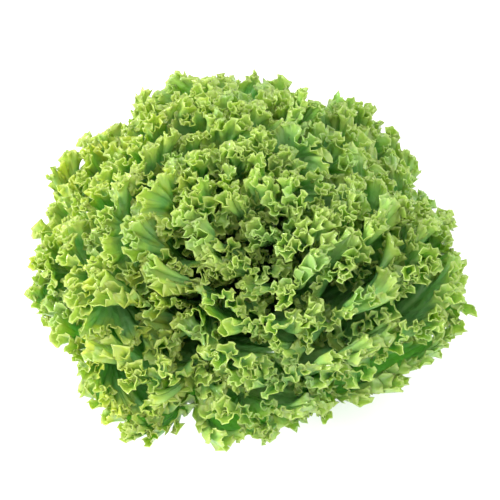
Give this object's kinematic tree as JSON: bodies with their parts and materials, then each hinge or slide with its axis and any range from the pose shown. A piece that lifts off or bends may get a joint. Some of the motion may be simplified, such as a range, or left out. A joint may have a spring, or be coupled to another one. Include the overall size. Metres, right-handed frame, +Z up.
{
  "type": "green leaf lettuce",
  "caption": "Head of green leaf lettuce standing on its cut butt: a short tapered stem with broad, densely frilled leaves spiralling up it into a round dome.",
  "frame": {"origin": "middle of the flat cut face under the stem", "axes": "+Z up along the stem, -Y towards the side that the picture shows nearest"},
  "size_m": [0.2903, 0.2916, 0.1819],
  "materials": {
    "outer_leaf": "fresh, slightly waxy leaf",
    "middle_leaf": "fresh, slightly waxy leaf",
    "heart_leaf": "fresh, slightly waxy leaf",
    "stem": "moist, pale cut stem"
  },
  "bodies": {
    "root": {"stem": "stem", "leaf_01": "outer_leaf", "leaf_02": "outer_leaf", "leaf_03": "outer_leaf", "leaf_04": "outer_leaf", "leaf_05": "outer_leaf", "leaf_06": "outer_leaf", "leaf_07": "outer_leaf", "leaf_08": "outer_leaf", "leaf_09": "outer_leaf", "leaf_10": "outer_leaf", "leaf_11": "outer_leaf", "leaf_12": "outer_leaf", "leaf_13": "outer_leaf", "leaf_14": "outer_leaf", "leaf_15": "outer_leaf", "leaf_16": "outer_leaf", "leaf_17": "outer_leaf", "leaf_18": "outer_leaf", "leaf_19": "outer_leaf", "leaf_20": "outer_leaf", "leaf_21": "middle_leaf", "leaf_22": "middle_leaf", "leaf_23": "middle_leaf", "leaf_24": "middle_leaf", "leaf_25": "middle_leaf", "leaf_26": "middle_leaf", "leaf_27": "middle_leaf", "leaf_28": "middle_leaf", "leaf_29": "middle_leaf", "leaf_30": "middle_leaf", "leaf_31": "middle_leaf", "leaf_32": "middle_leaf", "leaf_33": "middle_leaf", "leaf_34": "middle_leaf", "leaf_35": "middle_leaf", "leaf_36": "middle_leaf", "leaf_37": "middle_leaf", "leaf_38": "middle_leaf", "leaf_39": "middle_leaf", "leaf_40": "middle_leaf", "leaf_41": "heart_leaf", "leaf_42": "heart_leaf", "leaf_43": "heart_leaf", "leaf_44": "heart_leaf", "leaf_45": "heart_leaf", "leaf_46": "heart_leaf", "leaf_47": "heart_leaf", "leaf_48": "heart_leaf", "leaf_49": "heart_leaf", "leaf_50": "heart_leaf", "leaf_51": "heart_leaf", "leaf_52": "heart_leaf", "leaf_53": "heart_leaf", "leaf_54": "heart_leaf", "leaf_55": "heart_leaf", "leaf_56": "heart_leaf", "leaf_57": "heart_leaf", "leaf_58": "heart_leaf", "leaf_59": "heart_leaf"}
  },
  "joints": []
}
